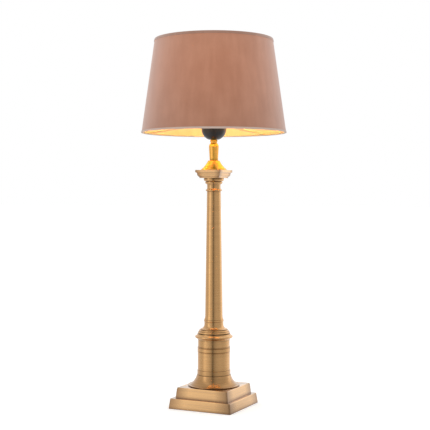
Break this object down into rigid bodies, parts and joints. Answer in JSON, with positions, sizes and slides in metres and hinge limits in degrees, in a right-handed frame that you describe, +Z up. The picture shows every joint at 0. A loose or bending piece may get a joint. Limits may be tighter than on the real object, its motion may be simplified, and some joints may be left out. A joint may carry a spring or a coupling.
{
  "type": "table lamp",
  "caption": "Column table lamp with a stepped square plinth, a turned brass column with a moulded capital, a black lampholder and a tapered velvet drum shade.",
  "frame": {"origin": "centre of the felt's underside, where the lamp stands on the table, on the axis of the column", "axes": "+Z up along the column; the plinth's faces are square to X and Y; +Y is the back, with the cord inlet; the picture sees the -Y and +X faces"},
  "size_m": [0.3, 0.3, 0.758],
  "materials": {
    "antique_brass": "brushed, antique lacquer",
    "felt": "felted",
    "bush_plastic": "moulded",
    "ballast_iron": "as cast, painted",
    "zinc_steel": "zinc plated",
    "holder_black": "moulded, semi-gloss",
    "insert_plastic": "moulded",
    "contact_brass": "bright",
    "carrier_paint": "gold lacquer",
    "velvet": "short pile velvet",
    "velvet_tape": "rolled tape",
    "pale_binding": "thin binding",
    "gold_lining": "metallised film",
    "solder": "dull",
    "black_glass": "moulded",
    "cap_metal": "pressed",
    "opal_glass": "opal"
  },
  "bodies": {
    "stand": {"base_felt": "felt", "lower_plinth": "antique_brass", "inlet_bush": "bush_plastic", "ballast_block": "ballast_iron", "clamp_washer": "zinc_steel", "clamp_nut": "zinc_steel", "upper_plinth": "antique_brass", "foot_skirt": "antique_brass", "pedestal_foot_ring": "antique_brass", "pedestal_drum": "antique_brass", "pedestal_band": "antique_brass", "pedestal_frieze": "antique_brass", "pedestal_cornice": "antique_brass", "column_torus": "antique_brass", "column_scotia": "antique_brass", "column_collar": "antique_brass", "column_shaft": "antique_brass", "capital_astragal": "antique_brass", "capital_neck": "antique_brass", "capital_echinus": "antique_brass", "capital_abacus": "antique_brass", "capital_bell": "antique_brass", "holder_vase": "antique_brass", "holder_collar": "antique_brass", "threaded_rod": "zinc_steel", "holder_cap": "holder_black", "holder_insert": "insert_plastic", "terminal_screws": "contact_brass", "holder_barrel": "holder_black", "screw_shell": "contact_brass", "centre_contact": "contact_brass"},
    "shade": {"shade_carrier": "carrier_paint", "shade_bottom_wire": "carrier_paint", "shade_top_wire": "carrier_paint", "shade_cover": "velvet", "shade_liner": "gold_lining", "shade_top_trim": "velvet_tape", "shade_bottom_trim": "pale_binding"},
    "ring_nut": {"shade_ring_nut": "holder_black"},
    "bulb": {"bulb_tip": "solder", "bulb_insulator": "black_glass", "bulb_cap": "cap_metal", "bulb_globe": "opal_glass"}
  },
  "joints": [
    {"name": "shade_turn", "type": "hinge", "parent": "stand", "child": "shade", "pos_m": [0, 0, 0.5808], "axis": [0, 0, 1], "continuous": true},
    {"name": "ring_nut_turn", "type": "hinge", "parent": "stand", "child": "ring_nut", "pos_m": [0, 0, 0.5878], "axis": [0, 0, 1], "range_deg": [0, 1440]},
    {"name": "bulb_turn", "type": "hinge", "parent": "stand", "child": "bulb", "pos_m": [0, 0, 0.5865], "axis": [0, 0, 1], "range_deg": [0, 900]}
  ]
}
